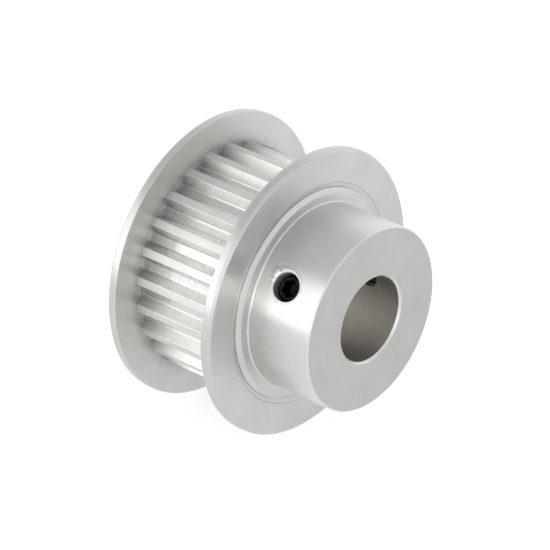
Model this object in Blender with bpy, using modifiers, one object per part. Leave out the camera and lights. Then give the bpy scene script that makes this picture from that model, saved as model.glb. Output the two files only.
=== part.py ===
"""Timing belt pulley with two pressed-on flanges, a hub, and two set screws in the hub.

Metres, +Z up. The shaft axis is world Y and the hub points to -Y. The origin is on the shaft axis, halfway
between the two flanges, which is the centre line of the belt. Each turned piece is drawn with its own axis on
local Z, hub end up, and is then laid down so that local Z points to world -Y.
"""

import math

import bmesh
import bpy
from mathutils import Matrix

# Teeth, a 5 mm pitch trapezoidal profile.
TEETH = 24
TIP_RADIUS = 0.01868
GROOVE_DEPTH = 0.0019
GROOVE_FLOOR = 0.00172
FLANK_ANGLE = math.radians(25)
ROOT_FILLET = 0.0004
TOOTH_PHASE = math.radians(5.7)

# Along the shaft axis.
BELT_WIDTH_SPACE = 0.0177
FLANGE_THICKNESS = 0.0017
SPIGOT_PROUD = 0.0005
HUB_PROJECTION = 0.0125

# Radii.
BORE_RADIUS = 0.0070
HUB_RADIUS = 0.01515
SPIGOT_RADIUS = 0.01745
FLANGE_RADIUS = 0.0236

# Edge breaks, the rolled-down edge of the spigots, and the hollow corner at the foot of the hub.
HUB_CHAMFER = 0.00025
BORE_CHAMFER = 0.00035
COLLAR_SLOPE_WIDTH = 0.0008
COLLAR_SLOPE_HEIGHT = 0.00045
FLANGE_CHAMFER = 0.0005
FLANGE_DISH_WIDTH = 0.0007
FLANGE_DISH_DEPTH = 0.0001
HUB_FILLET = 0.0003

# Set screws, M5 by 6 mm with a cup point, 120 degrees apart.
SCREW_ANGLES = (math.radians(145), math.radians(25))
SCREW_FROM_HUB_END = 0.00655
SCREW_RADIUS = 0.00235
SCREW_LENGTH = 0.0060
SCREW_RECESS = 0.0008
SCREW_CHAMFER = 0.0004
CUP_RADIUS = 0.0012
CUP_DEPTH = 0.0006
SOCKET_ACROSS_FLATS = 0.0025
SOCKET_DEPTH = 0.0025
HOLE_RADIUS = 0.0026
HOLE_CHAMFER = 0.0003

# Clearance between pieces that touch in the real object.
FIT_GAP = 0.0002

# Steps of a full turn on large and on small round pieces, and of a quarter turn on a fillet.
TURN_STEPS = 96
SMALL_STEPS = 32
FILLET_STEPS = 3
# How far a cutter reaches past the material it cuts.
OVERRUN = 0.001
MERGE = 0.000001

SHOULDER = BELT_WIDTH_SPACE / 2 - FIT_GAP
FLANGE_FACE = BELT_WIDTH_SPACE / 2 + FLANGE_THICKNESS
BODY_END = FLANGE_FACE + SPIGOT_PROUD
HUB_END = FLANGE_FACE + HUB_PROJECTION
SCREW_Y = SCREW_FROM_HUB_END - HUB_END
SCREW_INNER_END = HUB_RADIUS - SCREW_RECESS - SCREW_LENGTH

LAID_DOWN = Matrix.Rotation(math.radians(90), 4, "X")


def clear_scene():
    for obj in list(bpy.data.objects):
        bpy.data.objects.remove(obj)


def new_collection(name):
    collection = bpy.data.collections.new(name)
    bpy.context.scene.collection.children.link(collection)
    return collection


def metal(name, colour, roughness):
    material = bpy.data.materials.new(name)
    material.use_nodes = True
    shader = material.node_tree.nodes["Principled BSDF"]
    shader.inputs["Base Color"].default_value = (*colour, 1.0)
    shader.inputs["Metallic"].default_value = 1.0
    shader.inputs["Roughness"].default_value = roughness
    return material


def add_mesh_object(name, shape, collection, matrix, material=None):
    """Makes an object of a bmesh, shaded smooth up to 30 degrees, and frees the bmesh."""
    mesh = bpy.data.meshes.new(name)
    shape.to_mesh(mesh)
    shape.free()
    mesh.shade_smooth()
    mesh.set_sharp_from_angle(angle=math.radians(30))
    if material:
        mesh.materials.append(material)
    obj = bpy.data.objects.new(name, mesh)
    obj.matrix_world = matrix
    collection.objects.link(obj)
    return obj


def turned(name, outline, closed, steps, collection, matrix, material=None):
    """A solid of revolution about local Z. The outline's (radius, height) points run down the outer side."""
    shape = bmesh.new()
    corners = [shape.verts.new((radius, 0.0, height)) for radius, height in outline]
    for start, end in zip(corners, corners[1:]):
        shape.edges.new((start, end))
    if closed:
        shape.edges.new((corners[-1], corners[0]))
    obj = add_mesh_object(name, shape, collection, matrix, material)
    screw = obj.modifiers.new("Turn", "SCREW")
    screw.axis = "Z"
    screw.angle = math.tau
    screw.steps = steps
    screw.render_steps = steps
    screw.use_merge_vertices = True
    screw.merge_threshold = MERGE
    return obj


def as_cutter(obj):
    obj.hide_render = True
    obj.display_type = "WIRE"
    return obj


def cut(obj, cutter):
    boolean = obj.modifiers.new("Cut " + cutter.name, "BOOLEAN")
    boolean.operation = "DIFFERENCE"
    boolean.object = cutter


def arc(centre, radius, start, end, steps):
    """Points of an arc, both ends included. Angles are from the first coordinate's direction."""
    angles = [start + (end - start) * step / steps for step in range(steps + 1)]
    return [(centre[0] + radius * math.cos(a), centre[1] + radius * math.sin(a)) for a in angles]


def body_outline():
    foot = (HUB_RADIUS + HUB_FILLET, BODY_END + HUB_FILLET)
    hub = [
        (BORE_RADIUS + BORE_CHAMFER, HUB_END),
        (HUB_RADIUS - HUB_CHAMFER, HUB_END),
        (HUB_RADIUS, HUB_END - HUB_CHAMFER),
        *arc(foot, HUB_FILLET, math.pi, 1.5 * math.pi, FILLET_STEPS),
    ]
    rim = [
        (SPIGOT_RADIUS - COLLAR_SLOPE_WIDTH, BODY_END),
        (SPIGOT_RADIUS, BODY_END - COLLAR_SLOPE_HEIGHT),
        (SPIGOT_RADIUS, SHOULDER),
        (TIP_RADIUS, SHOULDER),
    ]
    far_rim = [(radius, -height) for radius, height in reversed(rim)]
    bore = [
        (BORE_RADIUS + BORE_CHAMFER, -BODY_END),
        (BORE_RADIUS, BORE_CHAMFER - BODY_END),
        (BORE_RADIUS, HUB_END - BORE_CHAMFER),
    ]
    return hub + rim + far_rim + bore


def groove_section():
    """Half of one tooth groove about local +X, as (radius, sideways) points from its floor outwards."""
    floor = TIP_RADIUS - GROOVE_DEPTH
    # The fillet touches the floor and the flank, so its centre is this far in from their corner.
    inset = ROOT_FILLET * math.tan((math.pi / 2 - FLANK_ANGLE) / 2)
    centre = (floor + ROOT_FILLET, GROOVE_FLOOR / 2 - inset)
    fillet = arc(centre, ROOT_FILLET, math.pi, math.pi / 2 + FLANK_ANGLE, FILLET_STEPS)
    top = GROOVE_DEPTH + OVERRUN
    return fillet + [(floor + top, GROOVE_FLOOR / 2 + top * math.tan(FLANK_ANGLE))]


def groove_cutter(collection):
    """All the grooves between the teeth, as separate prisms in one object."""
    half = groove_section()
    section = half + [(radius, -side) for radius, side in reversed(half)]
    shape = bmesh.new()
    for tooth in range(TEETH):
        turn = Matrix.Rotation(TOOTH_PHASE + (tooth + 0.5) * math.tau / TEETH, 4, "Z")
        lower = [shape.verts.new(turn @ Matrix.Translation((r, s, -SHOULDER)).translation) for r, s in section]
        base = shape.faces.new(lower)
        prism = bmesh.ops.extrude_face_region(shape, geom=[base], use_keep_orig=True)
        raised = [item for item in prism["geom"] if isinstance(item, bmesh.types.BMVert)]
        bmesh.ops.translate(shape, verts=raised, vec=(0.0, 0.0, 2 * SHOULDER))
    bmesh.ops.recalc_face_normals(shape, faces=shape.faces)
    return as_cutter(add_mesh_object("tooth_grooves", shape, collection, LAID_DOWN))


def radial_frame(angle, radius):
    """A frame at the given distance from the shaft axis whose Z points straight outwards through the hub."""
    turn = Matrix.Rotation(math.pi / 2 - angle, 4, "Y")
    return Matrix.Translation((0.0, SCREW_Y, 0.0)) @ turn @ Matrix.Translation((0.0, 0.0, radius))


def hole_cutter(name, angle, collection):
    mouth = HUB_RADIUS - HOLE_CHAMFER
    outline = [
        (0.0, HUB_RADIUS + OVERRUN),
        (HOLE_RADIUS + HOLE_CHAMFER + OVERRUN, HUB_RADIUS + OVERRUN),
        (HOLE_RADIUS, mouth),
        (HOLE_RADIUS, BORE_RADIUS - 2 * OVERRUN),
        (0.0, BORE_RADIUS - 2 * OVERRUN),
    ]
    cutter = turned(name, outline, False, SMALL_STEPS, collection, radial_frame(angle, 0.0))
    return as_cutter(cutter)


def socket_cutter(name, angle, collection):
    """A hexagonal prism that sinks the key socket into the outer end of a set screw."""
    shape = bmesh.new()
    corner = SOCKET_ACROSS_FLATS / 2 / math.cos(math.pi / 6)
    depth = SOCKET_DEPTH + OVERRUN
    bmesh.ops.create_cone(
        shape, cap_ends=True, segments=6, radius1=corner, radius2=corner, depth=depth
    )
    bmesh.ops.translate(shape, verts=shape.verts, vec=(0.0, 0.0, OVERRUN - depth / 2))
    outer_end = radial_frame(angle, SCREW_INNER_END + SCREW_LENGTH)
    return as_cutter(add_mesh_object(name, shape, collection, outer_end))


def pulley_body(parts, cutters, material):
    body = turned("pulley_body", body_outline(), True, TURN_STEPS, parts, LAID_DOWN, material)
    cut(body, groove_cutter(cutters))
    for number, angle in enumerate(SCREW_ANGLES, 1):
        cut(body, hole_cutter(f"screw_hole_{number}", angle, cutters))
    return body


def flange(name, side, parts, material):
    """A flat ring, on its outer face chamfered at the rim and dished at the bore. side is 1 at the hub end."""
    bore = SPIGOT_RADIUS + FIT_GAP
    inner_face = BELT_WIDTH_SPACE / 2
    ring = [
        (bore, FLANGE_FACE - FLANGE_DISH_DEPTH),
        (bore + FLANGE_DISH_WIDTH, FLANGE_FACE),
        (FLANGE_RADIUS - FLANGE_CHAMFER, FLANGE_FACE),
        (FLANGE_RADIUS, FLANGE_FACE - FLANGE_CHAMFER),
        (FLANGE_RADIUS, inner_face),
        (bore, inner_face),
    ]
    if side < 0:
        ring = [(radius, -height) for radius, height in reversed(ring)]
    return turned(name, ring, True, TURN_STEPS, parts, LAID_DOWN, material)


def set_screw(number, angle, parts, cutters, material):
    outline = [
        (0.0, SCREW_LENGTH),
        (SCREW_RADIUS - SCREW_CHAMFER, SCREW_LENGTH),
        (SCREW_RADIUS, SCREW_LENGTH - SCREW_CHAMFER),
        (SCREW_RADIUS, SCREW_CHAMFER * 2),
        (SCREW_RADIUS - SCREW_CHAMFER * 2, 0.0),
        (CUP_RADIUS, 0.0),
        (0.0, CUP_DEPTH),
    ]
    place = radial_frame(angle, SCREW_INNER_END)
    screw = turned(f"set_screw_{number}", outline, False, SMALL_STEPS, parts, place, material)
    cut(screw, socket_cutter(f"key_socket_{number}", angle, cutters))
    return screw


def build():
    clear_scene()
    parts = new_collection("timing_belt_pulley")
    cutters = new_collection("cutters")
    turned_aluminium = metal("turned_aluminium", (0.66, 0.66, 0.65), 0.30)
    flange_aluminium = metal("flange_aluminium", (0.64, 0.64, 0.63), 0.34)
    black_steel = metal("black_steel", (0.035, 0.035, 0.037), 0.42)

    pieces = [
        pulley_body(parts, cutters, turned_aluminium),
        flange("hub_side_flange", 1, parts, flange_aluminium),
        flange("far_side_flange", -1, parts, flange_aluminium),
    ]
    for number, angle in enumerate(SCREW_ANGLES, 1):
        pieces.append(set_screw(number, angle, parts, cutters, black_steel))

    belt_centre = bpy.data.objects.new("belt_centre", None)
    parts.objects.link(belt_centre)
    for piece in pieces:
        piece.parent = belt_centre


build()
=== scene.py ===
import math

import bmesh
import bpy
from mathutils import Matrix, Vector


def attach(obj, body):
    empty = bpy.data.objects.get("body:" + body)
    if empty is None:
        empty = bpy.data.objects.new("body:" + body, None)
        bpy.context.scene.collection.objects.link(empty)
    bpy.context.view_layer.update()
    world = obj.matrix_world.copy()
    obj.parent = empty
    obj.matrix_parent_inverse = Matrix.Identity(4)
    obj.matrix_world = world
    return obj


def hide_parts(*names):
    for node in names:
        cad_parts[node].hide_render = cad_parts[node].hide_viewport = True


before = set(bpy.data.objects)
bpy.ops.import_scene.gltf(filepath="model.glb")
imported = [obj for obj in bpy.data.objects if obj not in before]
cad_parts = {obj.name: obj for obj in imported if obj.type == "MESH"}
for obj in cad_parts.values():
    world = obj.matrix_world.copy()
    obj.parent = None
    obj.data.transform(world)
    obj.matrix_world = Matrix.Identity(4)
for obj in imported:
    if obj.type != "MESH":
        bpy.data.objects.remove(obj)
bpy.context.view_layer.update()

# Lengths are in millimetres until a mesh is made. The shaft axis is Y, and the hub points to -Y.
MM = 0.001

# Teeth. The profile is that of a belt with a pitch of 5 mm.
TEETH = 24
TIP_RADIUS = 18.68
FLOOR_RADIUS = 16.78
HALF_FLOOR = 0.86
FLANK_ANGLE = math.radians(25)
ROOT_FILLET = 0.4
TIP_ROUNDING = 0.18
TOOTH_PHASE = math.radians(5.7)

# Radii of the turned shapes. The collar is the raised end of a spigot, sloped down to the flange.
BORE_RADIUS = 7.0
HUB_RADIUS = 15.15
COLLAR_TOP_RADIUS = 16.65
SPIGOT_RADIUS = 17.45
FLANGE_RADIUS = 23.6

# Distances from the middle of the belt along the shaft.
BELT_SPACE_END = 8.85
FLANGE_FACE = 10.55
COLLAR_FOOT = 10.60
SPIGOT_FACE = 11.05
HUB_FACE = 23.05

# Edge breaks and roundings.
HUB_CHAMFER = 0.25
BORE_CHAMFER = 0.35
FLANGE_CHAMFER = 0.5
FLANGE_INNER_CHAMFER = 0.1
CHAMFER_ROUNDING = 0.06
COLLAR_ROUNDING = 0.3
COLLAR_FOOT_ROUNDING = 0.04
FLANGE_RIM_ROUNDING = 0.12
FLANGE_EDGE_ROUNDING = 0.05

# A fine groove that the tool left on the outer face of each flange, and the dish inside it.
TOOL_LINE_RADIUS = 18.2
TOOL_LINE_DEPTH = 0.07
DISH_DEPTH = 0.10
DISH_FLOOR_WIDTH = 0.10

# The hairline that shows where a pressed-on flange meets the spigot, and its fit against the teeth.
JOINT_LINE = 0.045
TOOTH_END_GAP = 0.005

# Set screws and their tapped holes. Heights are distances from the shaft axis.
SCREW_ANGLES = (math.radians(145), math.radians(25))
SCREW_Y = -16.5
SCREW_OUTER_END = 14.35
SCREW_INNER_END = 8.35
SCREW_CREST = 2.14
SCREW_ROOT = 1.88
HOLE_CREST = 2.20
HOLE_ROOT = 2.44
PITCH = 0.8
# How steep a thread's sides are, and how much of its root is flat.
THREAD_SLOPE = 2.9
THREAD_ROOT_FLAT = 0.22
CUP_RADIUS = 1.2
CUP_DEPTH = 0.55
SOCKET_FLATS = 2.5
SOCKET_DEPTH = 2.4
COUNTERSINK_FROM = 14.92
# How far the hole's cutter reaches past the wall, into the bore and out of the hub.
CUT_INTO_BORE = 2.5
CUT_PAST_HUB = 1.0

# The low uneven swelling round each hole's mouth. It is heavier on one side of the first hole.
BURR_HEIGHT = 0.055
BURR_REACH = 0.42
BURR_HALF_WIDTH = 0.16
BURR_HEAVY_SIDE = math.radians(57)
BURR_HEAVY_REACH = 0.60
BURR_HEAVY_WIDTH = 0.46
BURR_HEAVINESS = (1.0, 0.0)

# Steps of a full turn on a flange, on a screw or hole, and across the burr's section.
FLANGE_STEPS = 720
SMALL_STEPS = 96
BURR_SIDES = 16
# Steps of a rounding below this limit, of a larger one, of a tooth's fillet or tip, and of half a
# land.
FINE_ROUNDING = 0.2
FINE_STEPS = 3
ROUNDING_STEPS = 8
TOOTH_ARC_STEPS = 4
LAND_STEPS = 3


# ---------------------------------------------------------------- shapes

def arc(centre, start, end, steps):
    """Points about centre from start to end, both of them included."""
    a, b = Vector(start) - Vector(centre), Vector(end) - Vector(centre)
    turn = a.angle_signed(b)
    return [
        Vector(centre) + Matrix.Rotation(-turn * step / steps, 2) @ a
        for step in range(steps + 1)
    ]


def rounded(corners):
    """The closed outline through corners (radius, y, rounding), each turned to an arc."""
    points = []
    for index, (radius, y, rounding) in enumerate(corners):
        corner = Vector((radius, y))
        if not rounding:
            points.append(corner)
            continue
        before = (Vector(corners[index - 1][:2]) - corner).normalized()
        following = corners[(index + 1) % len(corners)]
        after = (Vector(following[:2]) - corner).normalized()
        half = before.angle(after) / 2
        centre = corner + (before + after).normalized() * rounding / math.sin(half)
        reach = rounding / math.tan(half)
        steps = FINE_STEPS if rounding < FINE_ROUNDING else ROUNDING_STEPS
        points += arc(centre, corner + before * reach, corner + after * reach, steps)
    return points


def ring_mesh(name, rings, closed):
    """A mesh through rings of points, each joined to the next.

    If closed, the last ring joins the first. If not, a fan closes each end.
    """
    count = len(rings[0])
    points = [point for ring in rings for point in ring]
    faces = []
    for a in range(len(rings) if closed else len(rings) - 1):
        b = (a + 1) % len(rings)
        for i in range(count):
            j = (i + 1) % count
            faces.append((a * count + i, a * count + j, b * count + j, b * count + i))
    if not closed:
        for a in (0, len(rings) - 1):
            points.append(sum(rings[a], Vector()) / count)
            middle = len(points) - 1
            faces += [(a * count + i, a * count + (i + 1) % count, middle) for i in range(count)]
    mesh = bpy.data.meshes.new(name)
    mesh.from_pydata([point * MM for point in points], [], faces)
    shape = bmesh.new()
    shape.from_mesh(mesh)
    bmesh.ops.remove_doubles(shape, verts=shape.verts, dist=1e-7)
    bmesh.ops.recalc_face_normals(shape, faces=shape.faces)
    shape.to_mesh(mesh)
    shape.free()
    return mesh


def add_object(name, data, matrix=None):
    """Adds an object that holds a mesh, lamp or camera."""
    obj = bpy.data.objects.new(name, data)
    bpy.context.scene.collection.objects.link(obj)
    if matrix is not None:
        obj.matrix_world = matrix
    return obj


def around_shaft(angle, radius, y):
    """The point at an angle from +X towards +Z."""
    return Vector((radius * math.cos(angle), y, radius * math.sin(angle)))


def smooth(obj, angle=32):
    """Shades obj smooth up to the angle in degrees, with normals weighted to the large faces."""
    obj.data.shade_smooth()
    obj.data.set_sharp_from_angle(angle=math.radians(angle))
    weighted = obj.modifiers.new("Weighted normals", "WEIGHTED_NORMAL")
    weighted.keep_sharp = True
    apply_modifiers(obj)


def apply_modifiers(obj):
    """Replaces an object's mesh with what its modifiers make of it."""
    bpy.context.view_layer.update()
    graph = bpy.context.evaluated_depsgraph_get()
    old = obj.data
    obj.data = bpy.data.meshes.new_from_object(obj.evaluated_get(graph), depsgraph=graph)
    obj.modifiers.clear()
    bpy.data.meshes.remove(old)


def half_groove():
    """(angle, radius) points from the middle of a groove's floor to the middle of the next land."""
    tangent = math.tan(FLANK_ANGLE)
    inset = ROOT_FILLET * math.tan((math.pi / 2 - FLANK_ANGLE) / 2)
    flank = Vector((math.cos(FLANK_ANGLE), math.sin(FLANK_ANGLE)))
    fillet_end = Vector((FLOOR_RADIUS, HALF_FLOOR)) + flank * inset
    fillet_centre = (FLOOR_RADIUS + ROOT_FILLET, HALF_FLOOR - inset)
    points = [Vector((FLOOR_RADIUS, 0.0)), Vector((FLOOR_RADIUS, HALF_FLOOR / 3))]
    fillet_start = (FLOOR_RADIUS, HALF_FLOOR - inset)
    points += arc(fillet_centre, fillet_start, fillet_end, TOOTH_ARC_STEPS)

    def on_flank(radius, aside):
        """The point this far from the shaft axis on a line beside the flank, inside the tooth."""
        side = HALF_FLOOR + aside / math.cos(FLANK_ANGLE) - FLOOR_RADIUS * tangent
        a, b, c = 1 + tangent**2, side * tangent, side**2 - radius**2
        height = (-b + math.sqrt(b * b - a * c)) / a
        return Vector((height, side + height * tangent))

    points.append(on_flank(SPIGOT_RADIUS, 0.0))
    centre = on_flank(TIP_RADIUS - TIP_ROUNDING, TIP_ROUNDING)
    outwards = Vector((flank.y, -flank.x))
    tip = centre * (1 + TIP_ROUNDING / centre.length)
    points += arc(centre, centre + outwards * TIP_ROUNDING, tip, TOOTH_ARC_STEPS)
    polar = [(math.atan2(point.y, point.x), point.length) for point in points]
    start, middle = polar[-1][0], math.pi / TEETH
    return polar + [
        (start + (middle - start) * step / LAND_STEPS, TIP_RADIUS)
        for step in range(1, LAND_STEPS + 1)
    ]


def tooth_outline():
    """(angle, radius) of every point round the toothed rim."""
    half = half_groove()
    groove = [(-angle, radius) for angle, radius in reversed(half[1:])] + half[:-1]
    turn = math.tau / TEETH
    return [
        (TOOTH_PHASE + (tooth + 0.5) * turn + angle, radius)
        for tooth in range(TEETH)
        for angle, radius in groove
    ]


def body_mesh():
    """The hub, bore, spigots and toothed rim in one mesh, before the screw holes are cut."""
    outline = tooth_outline()

    def circle(radius, y):
        return [around_shaft(angle, radius, y) for angle, _ in outline]

    def teeth(y):
        return [around_shaft(angle, radius, y) for angle, radius in outline]

    tooth_end = BELT_SPACE_END - TOOTH_END_GAP
    outside_and_bore = rounded([
        (SPIGOT_RADIUS, -tooth_end, 0),
        (SPIGOT_RADIUS, -COLLAR_FOOT, COLLAR_FOOT_ROUNDING),
        (COLLAR_TOP_RADIUS, -SPIGOT_FACE, COLLAR_ROUNDING),
        (HUB_RADIUS, -SPIGOT_FACE, COLLAR_ROUNDING),
        (HUB_RADIUS, HUB_CHAMFER - HUB_FACE, CHAMFER_ROUNDING),
        (HUB_RADIUS - HUB_CHAMFER, -HUB_FACE, CHAMFER_ROUNDING),
        (BORE_RADIUS + BORE_CHAMFER, -HUB_FACE, CHAMFER_ROUNDING),
        (BORE_RADIUS, BORE_CHAMFER - HUB_FACE, CHAMFER_ROUNDING),
        (BORE_RADIUS, 0, 0),
        (BORE_RADIUS, SPIGOT_FACE - BORE_CHAMFER, CHAMFER_ROUNDING),
        (BORE_RADIUS + BORE_CHAMFER, SPIGOT_FACE, CHAMFER_ROUNDING),
        (COLLAR_TOP_RADIUS, SPIGOT_FACE, COLLAR_ROUNDING),
        (SPIGOT_RADIUS, COLLAR_FOOT, COLLAR_FOOT_ROUNDING),
        (SPIGOT_RADIUS, tooth_end, 0),
    ])
    rings = [circle(*point) for point in outside_and_bore]
    rings += [teeth(tooth_end), teeth(-tooth_end)]
    return ring_mesh("pulley_body_shape", rings, True)


def radial_frame(angle):
    """A frame on the shaft axis at the set screws, with Z straight outwards through the hub."""
    turn = Matrix.Rotation(math.pi / 2 - angle, 4, "Y")
    return Matrix.Translation((0.0, SCREW_Y * MM, 0.0)) @ turn


def thread_wave(height, angle):
    """0 at a thread's root to 1 at its crest, on a helix."""
    place = (height / PITCH - angle / math.tau) % 1.0
    return min(1.0, max(0.0, abs(place - 0.5) * THREAD_SLOPE - THREAD_ROOT_FLAT))


def small_ring(radius_at, height):
    """A ring about local Z. radius_at gives the radius at an angle."""
    ring = []
    for step in range(SMALL_STEPS):
        angle = math.tau * step / SMALL_STEPS
        radius = radius_at(angle)
        ring.append(Vector((radius * math.cos(angle), radius * math.sin(angle), height)))
    return ring


def steps_between(low, high, spacing):
    """Numbers from low to high, both included, about spacing apart."""
    count = max(1, round((high - low) / spacing))
    return [low + (high - low) * step / count for step in range(count + 1)]


def hole_mesh():
    """The tapped hole's space: a threaded wall that opens in a countersink at the hub's surface."""
    rings = []
    for height in steps_between(BORE_RADIUS - CUT_INTO_BORE, HUB_RADIUS + CUT_PAST_HUB, PITCH / 10):
        cone = HOLE_CREST + height - COUNTERSINK_FROM

        def wall(angle, height=height, cone=cone):
            relief = HOLE_ROOT - HOLE_CREST
            return max(HOLE_CREST + relief * (1 - thread_wave(height, angle)), cone)

        rings.append(small_ring(wall, height))
    return ring_mesh("tapped_hole_shape", rings, False)


def burr_mesh(heaviness):
    """The swelling that drilling and tapping raised round a hole's mouth, on the hub's surface.

    It is higher and reaches further on the heavy side, as much as heaviness says.
    """
    rings = []
    for side in range(BURR_SIDES):
        around = math.tau * side / BURR_SIDES
        ring = []
        for step in range(SMALL_STEPS):
            a = math.tau * step / SMALL_STEPS
            heavy = heaviness * max(0.0, math.cos(a - BURR_HEAVY_SIDE)) ** 3
            # Three waves that don't line up, from -1 to 1 together.
            slow, quick = math.sin(7 * a + 0.6), math.sin(13 * a + 2.1)
            ragged = slow * 0.35 + quick * 0.35 + math.sin(23 * a) * 0.3
            height = BURR_HEIGHT * (0.7 + 0.45 * ragged + (1.8 + 1.8 * ragged) * heavy)
            middle = HOLE_CREST + BURR_REACH + 0.10 * ragged + BURR_HEAVY_REACH * heavy
            half_width = BURR_HALF_WIDTH + (BURR_HEAVY_WIDTH + 0.20 * ragged) * heavy
            out = middle + half_width * math.cos(around)
            x, y = out * math.cos(a), out * math.sin(a)
            hub = math.sqrt(HUB_RADIUS**2 - x * x)
            ring.append(Vector((x, y, hub + height * math.sin(around))))
        rings.append(ring)
    return ring_mesh("burr_shape", rings, True)


def screw_mesh():
    """A set screw with a hexagonal socket in its outer end and a cup point at its inner end."""
    top, end = SCREW_OUTER_END, SCREW_INNER_END
    flat = SOCKET_FLATS / 2

    def hexagon(angle):
        return flat / math.cos(angle % (math.pi / 3) - math.pi / 6)

    mouth = flat / math.cos(math.pi / 6) + 0.05
    rings = [
        small_ring(lambda a: 0.4 * hexagon(a), top - SOCKET_DEPTH - 0.3),
        small_ring(lambda a: hexagon(a) - 0.12, top - SOCKET_DEPTH - 0.06),
        small_ring(hexagon, top - SOCKET_DEPTH),
        small_ring(hexagon, top - 1.2),
        small_ring(hexagon, top - 0.2),
        small_ring(lambda a: (hexagon(a) + mouth) / 2, top - 0.09),
        small_ring(lambda a: mouth, top - 0.03),
        small_ring(lambda a: mouth + 0.06, top),
        small_ring(lambda a: SCREW_ROOT - 0.16, top),
        small_ring(lambda a: SCREW_ROOT - 0.10, top - 0.02),
    ]
    for height in reversed(steps_between(end + 0.03, top - 0.06, PITCH / 12)):
        outer_cone = SCREW_ROOT - 0.12 + (top - height)
        point_cone = CUP_RADIUS + 0.12 + (height - end) * 1.1

        def wall(angle, height=height, most=min(outer_cone, point_cone)):
            return min(SCREW_ROOT + (SCREW_CREST - SCREW_ROOT) * thread_wave(height, angle), most)

        rings.append(small_ring(wall, height))
    rings += [
        small_ring(lambda a: CUP_RADIUS + 0.08, end),
        small_ring(lambda a: CUP_RADIUS, end),
        small_ring(lambda a: CUP_RADIUS - 0.07, end + 0.05),
        small_ring(lambda a: 0.5, end + CUP_DEPTH * 0.75),
        small_ring(lambda a: 0.15, end + CUP_DEPTH),
    ]
    return ring_mesh("set_screw_shape", rings, False)


def flange_mesh(side):
    """A turned ring, chamfered at the rim and dished at the bore. side is -1 at the hub end."""
    bore = SPIGOT_RADIUS + JOINT_LINE
    corners = [
        (bore, FLANGE_FACE - DISH_DEPTH, 0),
        (bore + DISH_FLOOR_WIDTH, FLANGE_FACE - DISH_DEPTH, 0.03),
        (TOOL_LINE_RADIUS - 0.12, FLANGE_FACE, FLANGE_EDGE_ROUNDING),
        (TOOL_LINE_RADIUS - 0.07, FLANGE_FACE, 0),
        (TOOL_LINE_RADIUS - 0.03, FLANGE_FACE - TOOL_LINE_DEPTH, 0),
        (TOOL_LINE_RADIUS + 0.03, FLANGE_FACE - TOOL_LINE_DEPTH, 0),
        (TOOL_LINE_RADIUS + 0.08, FLANGE_FACE, 0),
        (FLANGE_RADIUS - FLANGE_CHAMFER, FLANGE_FACE, FLANGE_RIM_ROUNDING),
        (FLANGE_RADIUS, FLANGE_FACE - FLANGE_CHAMFER, FLANGE_RIM_ROUNDING),
        (FLANGE_RADIUS, BELT_SPACE_END + FLANGE_INNER_CHAMFER, FLANGE_EDGE_ROUNDING),
        (FLANGE_RADIUS - FLANGE_INNER_CHAMFER, BELT_SPACE_END, FLANGE_EDGE_ROUNDING),
        (bore, BELT_SPACE_END, 0),
    ]
    angles = [math.tau * step / FLANGE_STEPS for step in range(FLANGE_STEPS)]
    rings = [
        [around_shaft(angle, radius, side * y) for angle in angles]
        for radius, y in rounded(corners)
    ]
    return ring_mesh("flange_shape", rings, True)


def combine(obj, other, operation):
    """Joins other to obj or cuts it out of obj, and removes it."""
    boolean = obj.modifiers.new("Combine", "BOOLEAN")
    boolean.operation = operation
    boolean.object = other
    apply_modifiers(obj)
    mesh = other.data
    bpy.data.objects.remove(other)
    bpy.data.meshes.remove(mesh)


# How close to a wall's radius a point counts as on it, in metres.
ON_WALL = 4e-6


def true_cylinders(obj, walls):
    """Sets the normals on round walls (radius, sign) about the shaft axis to the true ones.

    A cut through a wall would otherwise leave bent shading beside it.
    """
    mesh = obj.data
    normals = [Vector(corner.vector) for corner in mesh.corner_normals]
    for face in mesh.polygons:
        places = [mesh.vertices[index].co for index in face.vertices]
        radii = [math.hypot(place.x, place.z) for place in places]
        for radius, sign in walls:
            if all(abs(r - radius * MM) < ON_WALL for r in radii):
                for corner, place in zip(face.loop_indices, places):
                    normals[corner] = Vector((place.x, 0.0, place.z)).normalized() * sign
    mesh.normals_split_custom_set(normals)


# ---------------------------------------------------------------- materials

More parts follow.
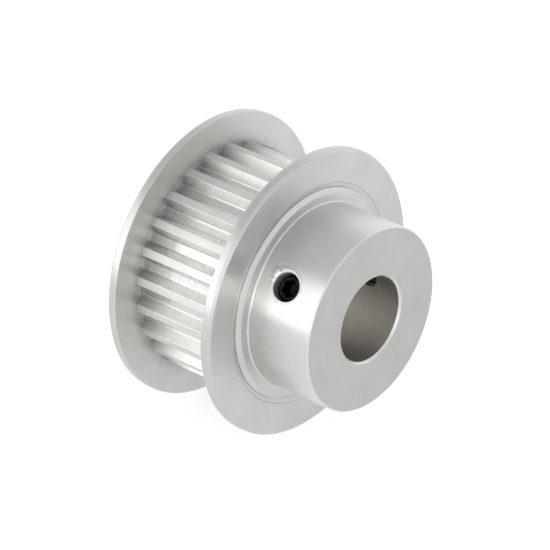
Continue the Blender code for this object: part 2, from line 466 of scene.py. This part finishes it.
class Surface:
    """A material's node tree, built by short calls.

    An input is a number, a colour or another node's output.
    """

    def __init__(self, name, **sockets):
        self.material = bpy.data.materials.new(name)
        self.material.use_nodes = True
        self.nodes = self.material.node_tree.nodes
        self.links = self.material.node_tree.links
        self.shader = self.nodes["Principled BSDF"]
        for socket, value in sockets.items():
            self.feed(self.shader.inputs[socket.replace("_", " ")], value)

    def feed(self, socket, value):
        if isinstance(value, bpy.types.NodeSocket):
            self.links.new(value, socket)
        else:
            socket.default_value = value

    def node(self, kind, inputs, output=0, **settings):
        node = self.nodes.new(kind)
        for name, value in settings.items():
            setattr(node, name, value)
        for socket, value in inputs.items():
            self.feed(node.inputs[socket], value)
        return node.outputs[output]

    def math(self, operation, a, b=0.0):
        return self.node("ShaderNodeMath", {0: a, 1: b}, operation=operation)

    def vector(self, x, y, z):
        return self.node("ShaderNodeCombineXYZ", {0: x, 1: y, 2: z})

    def noise(self, place, scale, detail=2.0, roughness=0.5):
        return self.node(
            "ShaderNodeTexNoise",
            {"Vector": place, "Scale": scale, "Detail": detail, "Roughness": roughness},
        )

    def spread(self, value, low, high, to_low, to_high):
        ends = {"From Min": low, "From Max": high, "To Min": to_low, "To Max": to_high}
        return self.node("ShaderNodeMapRange", {"Value": value, **ends})

    def blend(self, factor, first, second):
        """Two colours mixed. A Mix node lists a factor, A, B and result for each of its types."""
        return self.node("ShaderNodeMix", {0: factor, 6: first, 7: second}, 2, data_type="RGBA")

    def millimetres(self):
        """The object's own coordinates in millimetres, as (vector, x, y, z)."""
        place = self.nodes.new("ShaderNodeTexCoord").outputs["Object"]
        scaled = self.node("ShaderNodeVectorMath", {0: place, 3: 1 / MM}, operation="SCALE")
        parts = self.nodes.new("ShaderNodeSeparateXYZ")
        self.links.new(scaled, parts.inputs[0])
        return scaled, parts.outputs[0], parts.outputs[1], parts.outputs[2]

    def lathe(self, x, y, z):
        """(radius, distance along a turned outline, cosine and sine of the angle round Y)."""
        squares = self.math("ADD", self.math("MULTIPLY", x, x), self.math("MULTIPLY", z, z))
        radius = self.math("SQRT", squares)
        along = self.math("ADD", radius, y)
        return radius, along, self.math("DIVIDE", x, radius), self.math("DIVIDE", z, radius)

    def stretch_across_rings(self, amount):
        """Stretches highlights across the tool's rings, which run round the Y axis."""
        tangent = self.node("ShaderNodeTangent", {}, direction_type="RADIAL", axis="Y")
        self.feed(self.shader.inputs["Tangent"], tangent)
        self.feed(self.shader.inputs["Anisotropic"], amount)
        self.feed(self.shader.inputs["Anisotropic Rotation"], 0.25)

    def bump(self, height, distance):
        return self.node(
            "ShaderNodeBump", {"Height": height, "Distance": distance * MM, "Strength": 1.0}
        )


ALUMINIUM_TINT = (0.997, 1.0, 0.975)
WARM_TINT = (1.03, 1.0, 0.96)

# How fine the streaks are against the rings along the outline, and how many there are round it.
STREAK_FEED = 0.35
STREAKS_ROUND = 6.0


def tinted(level, tint):
    return (*(level * part for part in tint), 1.0)


def turned_metal(name, level, roughness, feed, depth, variation=0.05, grain=0.0,
                 tint=ALUMINIUM_TINT, stretch=0.0, painted_corner_shade=None):
    """Bare metal off a lathe: fine rings from the tool, uneven streaks, and faint cloudy stains.

    level is how light the metal is, and variation how much that changes. feed is how fine the
    rings are, depth how deep in millimetres, and grain how much dust joins them. stretch is how
    much highlights spread across the rings. The last argument is (how much darker, over how many
    mm) for painted shade in the corner between the teeth and a flange, where the flange shades
    the metal and is reflected dark in it.
    """
    surface = Surface(name, Metallic=1.0)
    place, x, y, z = surface.millimetres()
    radius, along, across, up = surface.lathe(x, y, z)
    ring_place = surface.vector(surface.math("MULTIPLY", along, feed), across, up)
    rings = surface.noise(ring_place, 1.0, 3.0, 0.6)
    streak_place = surface.vector(
        surface.math("MULTIPLY", along, feed * STREAK_FEED),
        surface.math("MULTIPLY", across, STREAKS_ROUND),
        surface.math("MULTIPLY", up, STREAKS_ROUND),
    )
    streaks = surface.noise(streak_place, 1.0, 2.0, 0.5)
    clouds = surface.noise(place, 0.22, 3.0, 0.55)
    dust = surface.noise(place, 7.0, 2.0, 0.6)

    tone = surface.math(
        "ADD", surface.math("MULTIPLY", streaks, 0.5), surface.math("MULTIPLY", clouds, 0.5)
    )
    colour = surface.blend(
        surface.spread(tone, 0.35, 0.65, 0.0, 1.0),
        tinted(level * (1 - variation), tint),
        tinted(level * (1 + variation), tint),
    )
    # Painted shade: the colour darkens, with a ragged edge, towards the corner between the teeth
    # and a flange, standing in for the shade there.
    if painted_corner_shade:
        darkening, reach = painted_corner_shade
        from_flange = surface.math("SUBTRACT", BELT_SPACE_END, surface.math("ABSOLUTE", y))
        past_tips = surface.math("SUBTRACT", radius, TIP_RADIUS)
        distance = surface.math("ADD", from_flange, surface.math("MAXIMUM", past_tips, 0.0))
        ragged = surface.math("MULTIPLY", surface.noise(place, 0.8, 4.0, 0.65), 2.0)
        edge = surface.math("ADD", distance, surface.math("SUBTRACT", ragged, 1.0))
        shade_amount = surface.math("POWER", surface.spread(edge, reach, 0.0, 0.0, 1.0), 1.5)
        colour = surface.blend(shade_amount, colour, tinted(level * (1 - darkening), tint))
    surface.feed(surface.shader.inputs["Base Color"], colour)

    if stretch:
        surface.stretch_across_rings(stretch)
    uneven = surface.math(
        "ADD", surface.math("MULTIPLY", streaks, 0.6), surface.math("MULTIPLY", dust, 0.4)
    )
    surface.feed(
        surface.shader.inputs["Roughness"],
        surface.spread(uneven, 0.3, 0.7, roughness - 0.05, roughness + 0.06),
    )
    height = surface.math("ADD", rings, surface.math("MULTIPLY", dust, grain))
    surface.feed(surface.shader.inputs["Normal"], surface.bump(height, depth))
    return surface.material


def black_metal(name):
    """Black oxide on steel, thin and lighter along its edges."""
    surface = Surface(name, Metallic=1.0)
    place, *_ = surface.millimetres()
    mottle = surface.noise(place, 3.5, 3.0, 0.6)
    fine = surface.noise(place, 22.0, 2.0, 0.5)
    edges = surface.node("ShaderNodeNewGeometry", {}, output="Pointiness")
    ragged_edges = surface.math("ADD", edges, surface.math("MULTIPLY", fine, 0.05))
    worn = surface.spread(ragged_edges, 0.56, 0.66, 0.0, 0.35)
    dark = surface.blend(mottle, (0.009, 0.009, 0.010, 1), (0.020, 0.020, 0.021, 1))
    colour = surface.blend(worn, dark, (0.09, 0.09, 0.09, 1))
    surface.feed(surface.shader.inputs["Base Color"], colour)
    surface.feed(surface.shader.inputs["Roughness"], surface.spread(mottle, 0.3, 0.7, 0.34, 0.5))
    surface.feed(surface.shader.inputs["Normal"], surface.bump(fine, 0.006))
    return surface.material


turned = turned_metal(
    "turned_aluminium_turned", level=0.63, roughness=0.34, feed=9.0, depth=0.0002, stretch=0.8
)
faced = turned_metal(
    "turned_aluminium_faced", level=0.465, roughness=0.40, feed=7.0, depth=0.0006, stretch=0.6
)
collar = turned_metal(
    "turned_aluminium_collar", level=0.55, roughness=0.38, feed=7.0, depth=0.0006, stretch=0.6
)
# The groove floors, flanks and lands, and the flanges' inner faces further down, carry painted
# shade in the corner by the flanges through their last argument.
grooves = turned_metal(
    "turned_aluminium_groove_floors", level=0.59, roughness=0.24, feed=5.0, depth=0.0005,
    variation=0.06, grain=1.0, painted_corner_shade=(0.12, 5.0),
)
# Painted light: the flanks are set far lighter than the floors and lands of the same cut metal, for
# the brighter light they catch. Their corner darkening is painted shade.
flanks_painted_light = turned_metal(
    "turned_aluminium_groove_flanks_painted_light", level=0.86, roughness=0.58, feed=5.0, depth=0.0010,
    variation=0.06, grain=1.0, painted_corner_shade=(0.48, 6.0),
)
land = turned_metal(
    "turned_aluminium_lands", level=0.63, roughness=0.54, feed=6.0, depth=0.0010,
    variation=0.06, grain=1.0, painted_corner_shade=(0.06, 1.5),
)
bored = turned_metal(
    "turned_aluminium_bored", level=0.66, roughness=0.34, feed=8.0, depth=0.0010,
    variation=0.06, tint=WARM_TINT,
)
# Painted shade: the tapped holes' walls are aluminium darkened nearly to black, for the deep shade
# among the threads.
tapped = turned_metal(
    "tapped_hole_painted_shade", level=0.12, roughness=0.55, feed=8.0, depth=0.0010, variation=0.10
)
flange_metal = turned_metal(
    "flange_aluminium_turned", level=0.54, roughness=0.38, feed=8.0, depth=0.0004, stretch=0.75
)
# Painted shade on the inner faces, darkest close to the teeth.
flange_back = turned_metal(
    "flange_aluminium_inner", level=0.60, roughness=0.46, feed=8.0, depth=0.0004,
    stretch=0.5, painted_corner_shade=(0.22, 1.6),
)
black = black_metal("black_steel_oxide")


def in_tapped_hole(face):
    """Whether a body face is on a tapped hole's wall, and not on the countersink at its mouth."""
    for angle in SCREW_ANGLES:
        outwards = around_shaft(angle, 1.0, 0.0)
        place = face.center / MM - Vector((0.0, SCREW_Y, 0.0))
        height = place.dot(outwards)
        aside = (place - outwards * height).length
        countersink = height > COUNTERSINK_FROM and face.normal.dot(outwards) > 0.66
        if 0 < height < HUB_RADIUS and aside < HOLE_ROOT and not countersink:
            return abs(face.normal.dot(outwards)) < 0.9
    return False


# The body's finishes, in the order of its material slots. The one for the tapped holes' walls is
# painted shade.
FINISHES = (turned, grooves, flanks_painted_light, land, faced, bored, tapped, collar)
# How far a face's middle may lie from the radius of the surface that it is part of.
LAND_MARGIN = 0.012
RUBBED_MARGIN = 0.14
FLOOR_MARGIN = 0.15
BORE_MARGIN = 0.02
BELOW_FLOOR = 0.2


def finish_of(face):
    """The finish of a body face, by where it lies."""
    centre = face.center / MM
    radius = math.hypot(centre.x, centre.z)
    # The tapped holes' walls take the near-black painted shade.
    if in_tapped_hole(face):
        return tapped
    if abs(centre.y) < BELT_SPACE_END and radius > FLOOR_RADIUS - BELOW_FLOOR:
        if radius > TIP_RADIUS - LAND_MARGIN:
            return land
        # The rounded edges of the tips are as bright as the floors, as if a belt had rubbed them.
        bright = radius > TIP_RADIUS - RUBBED_MARGIN or radius < FLOOR_RADIUS + FLOOR_MARGIN
        return grooves if bright else flanks_painted_light
    if radius < BORE_RADIUS + BORE_MARGIN:
        return bored
    if abs(face.normal.y) < 0.8:
        return turned
    return faced if abs(centre.y) > SPIGOT_FACE + 1 else collar


# ---------------------------------------------------------------- pieces

body = add_object("turned_body", body_mesh())
for angle, heaviness in zip(SCREW_ANGLES, BURR_HEAVINESS):
    combine(body, add_object("burr", burr_mesh(heaviness), radial_frame(angle)), "UNION")
    combine(body, add_object("hole", hole_mesh(), radial_frame(angle)), "DIFFERENCE")
smooth(body)
true_cylinders(body, [(HUB_RADIUS, 1), (BORE_RADIUS, -1)])
body.data.materials.clear()
for finish in FINISHES:
    body.data.materials.append(finish)
for face in body.data.polygons:
    face.material_index = FINISHES.index(finish_of(face))
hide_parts("pulley_body")
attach(body, "pulley")

for name, side, node in (
    ("near_flange_ring", -1, "hub_side_flange"),
    ("far_flange_ring", 1, "far_side_flange"),
):
    ring = add_object(name, flange_mesh(side))
    smooth(ring)
    ring.data.materials.append(flange_metal)
    ring.data.materials.append(flange_back)
    for face in ring.data.polygons:
        face.material_index = int(face.normal.y * side < -0.5)
    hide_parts(node)
    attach(ring, "pulley")

for number, angle in enumerate(SCREW_ANGLES, 1):
    screw = add_object(f"socket_screw_{number}", screw_mesh(), radial_frame(angle))
    smooth(screw, 40)
    screw.data.materials.append(black)
    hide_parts(f"set_screw_{number}")
    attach(screw, f"screw_{number}")


# ---------------------------------------------------------------- stage, light and camera

# In metres: how far the floor reaches each way, and its distance below the flanges.
FLOOR_HALF_WIDTH = 4.0
FLOOR_GAP = 0.0001


def floor_material():
    """Pale paper, lit from behind a little so that it stays even and near white."""
    surface = Surface(
        "studio_floor",
        Roughness=0.85,
        Specular_IOR_Level=0.1,
        Emission_Color=(1, 1, 1, 1),
        Emission_Strength=0.70,
    )
    place, *_ = surface.millimetres()
    paper = surface.noise(place, 0.02, 3.0, 0.5)
    colour = surface.blend(paper, (0.42, 0.42, 0.42, 1), (0.45, 0.45, 0.45, 1))
    surface.feed(surface.shader.inputs["Base Color"], colour)
    return surface.material


floor_shape = bmesh.new()
bmesh.ops.create_grid(floor_shape, x_segments=8, y_segments=8, size=FLOOR_HALF_WIDTH)
floor_mesh = bpy.data.meshes.new("floor_shape")
floor_shape.to_mesh(floor_mesh)
floor_shape.free()
floor_place = Matrix.Translation((0.0, 0.0, -FLANGE_RADIUS * MM - FLOOR_GAP))
floor = add_object("studio_floor", floor_mesh, floor_place)
floor.data.materials.append(floor_material())


# (height of a direction, brightness) of the room, from level to straight up.
ROOM_STOPS = ((0.0, 1.25), (0.45, 1.25), (0.6, 1.1), (0.72, 0.8), (1.0, 0.75))


def studio_world():
    """An even white room: brightest to the sides, and a little darker overhead."""
    world = bpy.data.worlds.new("studio")
    bpy.context.scene.world = world
    world.use_nodes = True
    nodes, links = world.node_tree.nodes, world.node_tree.links
    direction = nodes.new("ShaderNodeTexCoord")
    parts = nodes.new("ShaderNodeSeparateXYZ")
    ramp = nodes.new("ShaderNodeValToRGB")
    links.new(direction.outputs["Generated"], parts.inputs[0])
    links.new(parts.outputs[2], ramp.inputs[0])
    while len(ramp.color_ramp.elements) < len(ROOM_STOPS):
        ramp.color_ramp.elements.new(0.5)
    for element, (position, level) in zip(ramp.color_ramp.elements, ROOM_STOPS):
        element.position = position
        element.color = (level, level, level, 1)
    background = nodes["Background"]
    links.new(ramp.outputs[0], background.inputs[0])


def softbox(name, direction, distance, width, height, radiance):
    """A rectangular lamp that faces the object from this direction. Its sizes are in metres."""
    lamp = bpy.data.lights.new(name, "AREA")
    lamp.shape = "RECTANGLE"
    lamp.size, lamp.size_y = width, height
    lamp.energy = radiance * math.pi * width * height
    box = add_object(name, lamp)
    back = Vector(direction).normalized()
    box.location = back * distance
    box.rotation_mode = "QUATERNION"
    box.rotation_quaternion = back.to_track_quat("Z", "Y")
    box.visible_camera = False


studio_world()
softbox(
    "left_softbox", (-0.75, 0.57, 0.3), distance=1.2, width=1.3, height=1.1, radiance=0.76
)
softbox(
    "low_strip", (-0.98, -0.12, 0.10), distance=0.6, width=0.9, height=0.17, radiance=1.3
)
softbox(
    "front_fill", (-0.80, -0.50, 0.40), distance=1.2, width=1.0, height=0.7, radiance=0.45
)

CAMERA_AZIMUTH, CAMERA_ELEVATION = math.radians(-49.09), math.radians(29.76)
CAMERA_PLACE = (-0.4308, -0.37675, 0.32655)
CAMERA_LENS = 274.9

camera = add_object("camera", bpy.data.cameras.new("camera"))
towards_camera = Vector((
    math.sin(CAMERA_AZIMUTH) * math.cos(CAMERA_ELEVATION),
    -math.cos(CAMERA_AZIMUTH) * math.cos(CAMERA_ELEVATION),
    math.sin(CAMERA_ELEVATION),
))
camera.location = CAMERA_PLACE
camera.rotation_mode = "QUATERNION"
camera.rotation_quaternion = (-towards_camera).to_track_quat("-Z", "Y")
camera.data.lens = CAMERA_LENS
camera.data.sensor_width = 36.0
camera.data.clip_start, camera.data.clip_end = 0.01, 50.0
bpy.context.scene.camera = camera
bpy.context.scene.view_settings.view_transform = "Standard"
